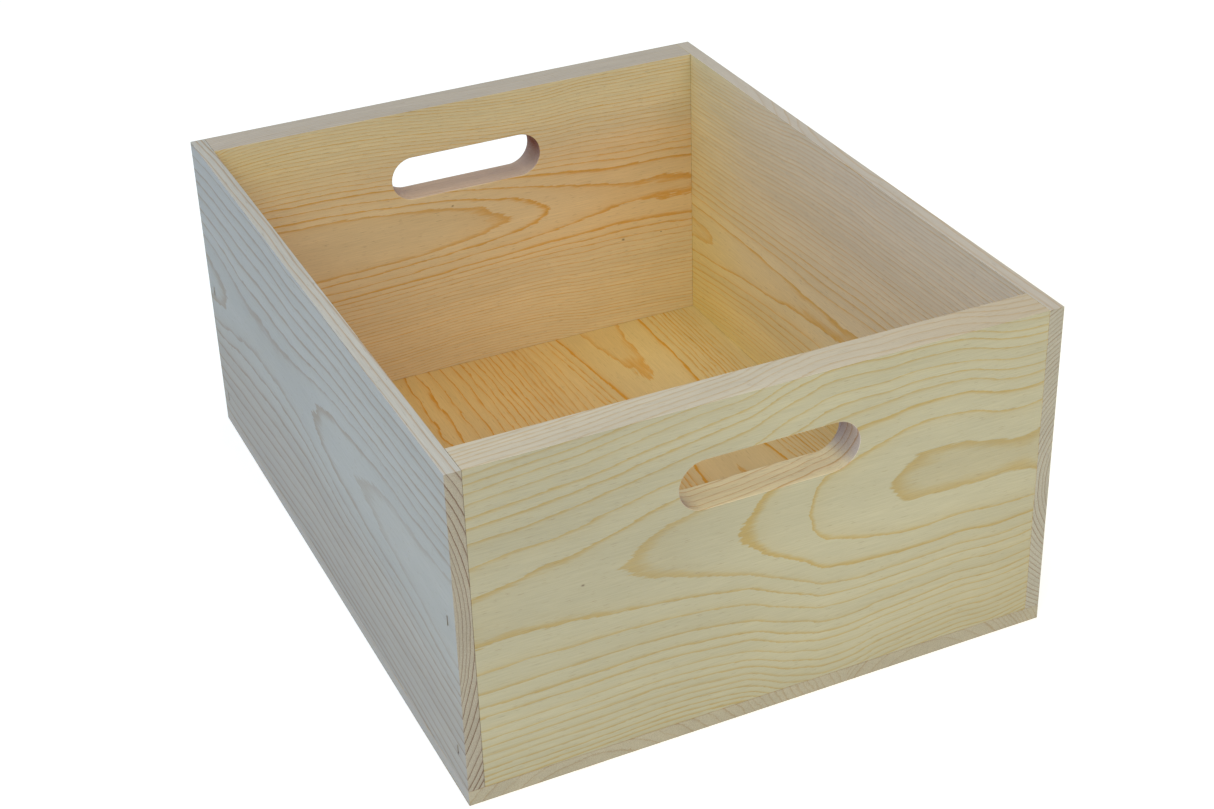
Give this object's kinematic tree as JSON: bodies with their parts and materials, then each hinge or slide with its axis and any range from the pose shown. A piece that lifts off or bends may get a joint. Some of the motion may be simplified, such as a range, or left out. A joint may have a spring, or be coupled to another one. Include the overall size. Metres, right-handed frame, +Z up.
{
  "type": "wooden crate",
  "caption": "Open-topped pine apple crate with thick end boards pierced by slotted hand holes, thin side boards and a flat bottom panel, stapled together.",
  "frame": {"origin": "centre of the crate's underside", "axes": "+X across the crate to its right side board, +Y along the crate to its rear end board, +Z up out of its open top"},
  "size_m": [0.322, 0.4, 0.186],
  "materials": {
    "bare_pine": "planed, unfinished softwood with visible growth rings",
    "staple_wire": "dull galvanised wire"
  },
  "bodies": {
    "root": {"end_board_front": "bare_pine", "end_board_rear": "bare_pine", "side_board_left": "bare_pine", "side_board_right": "bare_pine", "bottom_panel": "bare_pine", "corner_staple_front_left_lower": "staple_wire", "corner_staple_front_left_upper": "staple_wire", "corner_staple_front_right_lower": "staple_wire", "corner_staple_front_right_upper": "staple_wire", "corner_staple_rear_left_lower": "staple_wire", "corner_staple_rear_left_upper": "staple_wire", "corner_staple_rear_right_lower": "staple_wire", "corner_staple_rear_right_upper": "staple_wire", "bottom_staple_front_1": "staple_wire", "bottom_staple_front_2": "staple_wire", "bottom_staple_front_3": "staple_wire", "bottom_staple_rear_1": "staple_wire", "bottom_staple_rear_2": "staple_wire", "bottom_staple_rear_3": "staple_wire", "bottom_staple_left_1": "staple_wire", "bottom_staple_left_2": "staple_wire", "bottom_staple_left_3": "staple_wire", "bottom_staple_right_1": "staple_wire", "bottom_staple_right_2": "staple_wire", "bottom_staple_right_3": "staple_wire"}
  },
  "joints": []
}
